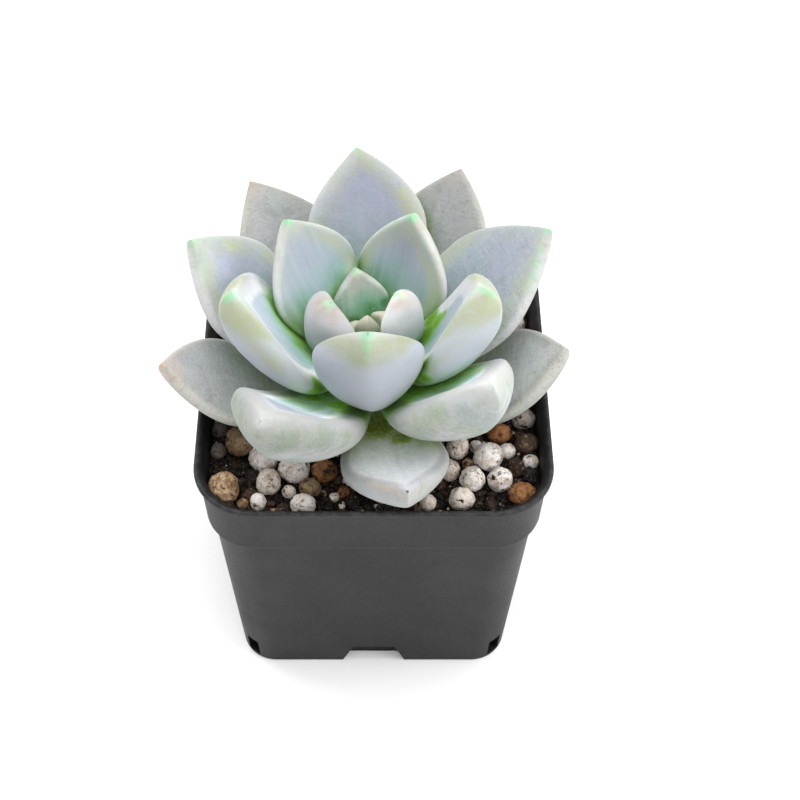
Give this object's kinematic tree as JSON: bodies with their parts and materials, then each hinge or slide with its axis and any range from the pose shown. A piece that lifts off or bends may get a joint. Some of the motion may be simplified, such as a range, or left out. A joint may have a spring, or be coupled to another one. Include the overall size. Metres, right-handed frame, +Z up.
{
  "type": "potted succulent",
  "caption": "Potted draco pachyveria: a thick-leaved grey-green succulent rosette in a square black plastic nursery pot topped with pale gravel pellets",
  "frame": {"origin": "middle of the pot's underside, on the surface that the pot stands on", "axes": "+Z up out of the pot, -Y the pot side that faces the picture, +X to the right"},
  "size_m": [0.0793, 0.079, 0.1013],
  "materials": {
    "pot_plastic": "matte, slight sheen",
    "growing_mix": "rough, damp crumbs",
    "stem_skin": "matte, scarred",
    "old_leaf_skin": "powdery bloom, speckled",
    "leaf_skin": "powdery bloom",
    "young_leaf_skin": "powdery bloom",
    "inner_leaf_skin": "powdery bloom",
    "bud_skin": "powdery bloom",
    "pellet_white": "rough, pitted",
    "pellet_pink": "rough, pitted",
    "pellet_tan": "rough, pitted",
    "pellet_rust": "rough, pitted",
    "pellet_grey": "rough, pitted"
  },
  "bodies": {
    "root": {"pot": "pot_plastic", "soil": "growing_mix", "stem": "stem_skin", "bud_leaf_1": "bud_skin", "bud_leaf_2": "bud_skin", "bud_leaf_3": "bud_skin", "inner_leaf_1": "inner_leaf_skin", "inner_leaf_3": "inner_leaf_skin", "inner_leaf_2": "inner_leaf_skin", "inner_leaf_4": "inner_leaf_skin", "third_ring_leaf_5": "young_leaf_skin", "third_ring_leaf_3": "young_leaf_skin", "third_ring_leaf_4": "young_leaf_skin", "third_ring_leaf_2": "young_leaf_skin", "third_ring_leaf_1": "young_leaf_skin", "second_ring_leaf_4": "leaf_skin", "second_ring_leaf_5": "leaf_skin", "second_ring_leaf_3": "leaf_skin", "second_ring_leaf_2": "leaf_skin", "second_ring_leaf_1": "leaf_skin", "lowest_leaf_5": "old_leaf_skin", "lowest_leaf_3": "old_leaf_skin", "lowest_leaf_4": "old_leaf_skin", "lowest_leaf_1": "old_leaf_skin", "lowest_leaf_2": "old_leaf_skin", "pebble_01": "pellet_grey", "pebble_02": "pellet_rust", "pebble_03": "pellet_grey", "pebble_04": "pellet_white", "pebble_05": "pellet_white", "pebble_06": "pellet_rust", "pebble_07": "pellet_tan", "pebble_08": "pellet_pink", "pebble_09": "pellet_white", "pebble_10": "pellet_tan", "pebble_11": "pellet_tan", "pebble_12": "pellet_white", "pebble_13": "pellet_pink", "pebble_14": "pellet_pink", "pebble_15": "pellet_white", "pebble_16": "pellet_rust", "pebble_17": "pellet_white", "pebble_18": "pellet_white", "pebble_19": "pellet_tan", "pebble_20": "pellet_pink", "pebble_21": "pellet_white", "pebble_22": "pellet_pink", "pebble_23": "pellet_white", "pebble_24": "pellet_white", "pebble_25": "pellet_rust", "pebble_26": "pellet_pink", "pebble_27": "pellet_pink", "pebble_28": "pellet_tan", "pebble_29": "pellet_white", "pebble_30": "pellet_rust", "pebble_31": "pellet_white", "pebble_32": "pellet_tan", "pebble_33": "pellet_white", "pebble_34": "pellet_tan"}
  },
  "joints": []
}
